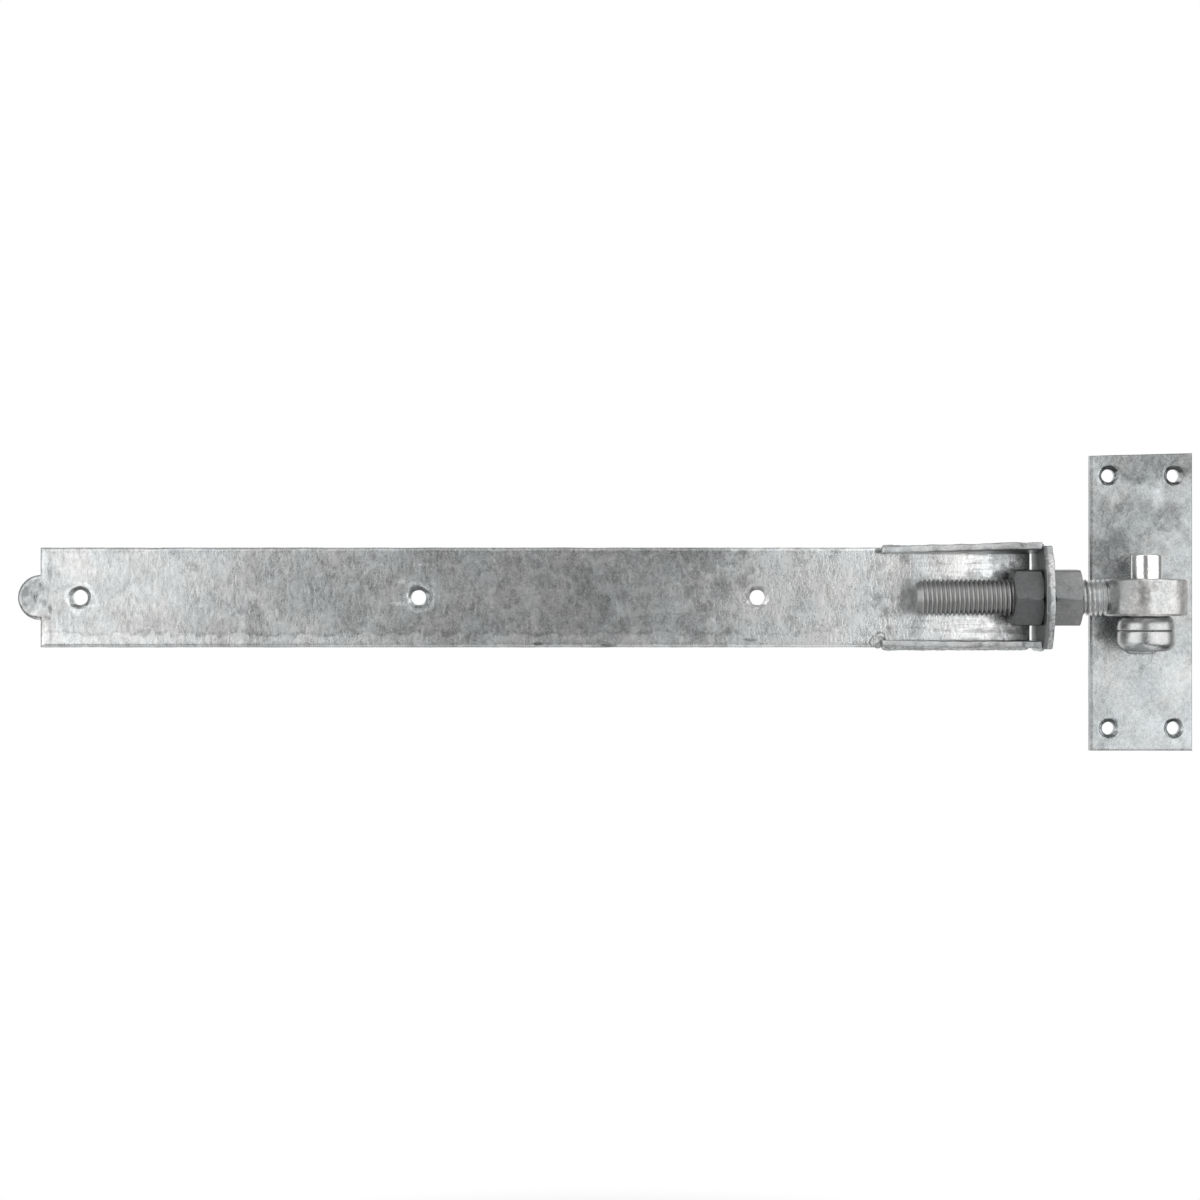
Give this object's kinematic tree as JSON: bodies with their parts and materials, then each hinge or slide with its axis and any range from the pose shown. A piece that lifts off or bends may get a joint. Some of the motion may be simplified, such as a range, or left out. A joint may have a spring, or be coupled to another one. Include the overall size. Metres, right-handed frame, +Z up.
{
  "type": "adjustable gate hinge",
  "caption": "Galvanised gate hinge: a flat bar band on a threaded eye bolt with locking nuts, which swings on the upright pin of a screw-on hook plate.",
  "frame": {"origin": "centre of the hook plate's back face, the middle of its screw hole pattern", "axes": "+Z up along the pin, +X along the band from the gate to the post, +Y into the post and the gate that the hinge is screwed to"},
  "size_m": [0.5241, 0.0445, 0.1328],
  "materials": {
    "galvanised_bar": "dip-galvanised, satin, mottled",
    "galvanised_plate": "dip-galvanised, matt, scratched, bluish",
    "bright_zinc": "bright smooth zinc",
    "bolt_zinc": "spun-galvanised, matt grey",
    "nut_zinc": "matt dark grey zinc",
    "weld_zinc": "galvanised weld metal"
  },
  "bodies": {
    "hook": {"hook_plate": "galvanised_plate", "hook_pin": "bright_zinc", "hook_weld": "weld_zinc"},
    "ring": {"seat_ring": "bright_zinc"},
    "bolt": {"eye_bolt": "bolt_zinc"},
    "band": {"strap": "galvanised_bar", "end_plate": "galvanised_bar", "upper_gusset": "galvanised_bar", "lower_gusset": "galvanised_bar", "upper_seam_weld": "weld_zinc", "lower_seam_weld": "weld_zinc", "upper_corner_weld": "weld_zinc", "lower_corner_weld": "weld_zinc", "lower_toe_weld": "weld_zinc"},
    "outer_nut": {"outer_nut": "nut_zinc"},
    "inner_nut": {"inner_nut": "nut_zinc"}
  },
  "joints": [
    {"name": "swing", "type": "hinge", "parent": "hook", "child": "ring", "pos_m": [-0.002, -0.026, 0], "axis": [0, 0, 1], "range_deg": [0, 180]},
    {"name": "lift_off", "type": "slide", "parent": "ring", "child": "bolt", "axis": [0, 0, 1], "range_m": [0, 0.028]},
    {"name": "adjust", "type": "slide", "parent": "bolt", "child": "band", "axis": [1, 0, 0], "range_m": [-0.038, 0.009]},
    {"name": "outer_nut_turn", "type": "hinge", "parent": "band", "child": "outer_nut", "pos_m": [-0.038, -0.026, 0.002], "axis": [1, 0, 0], "range_deg": [-6840, 1620]},
    {"name": "inner_nut_turn", "type": "hinge", "parent": "band", "child": "inner_nut", "pos_m": [-0.038, -0.026, 0.002], "axis": [1, 0, 0], "range_deg": [-6840, 1620]}
  ],
  "couplings": [
    {"joint": "outer_nut_turn", "follows": "adjust", "rad_per_m": 3141.6},
    {"joint": "inner_nut_turn", "follows": "adjust", "rad_per_m": 3141.6}
  ]
}
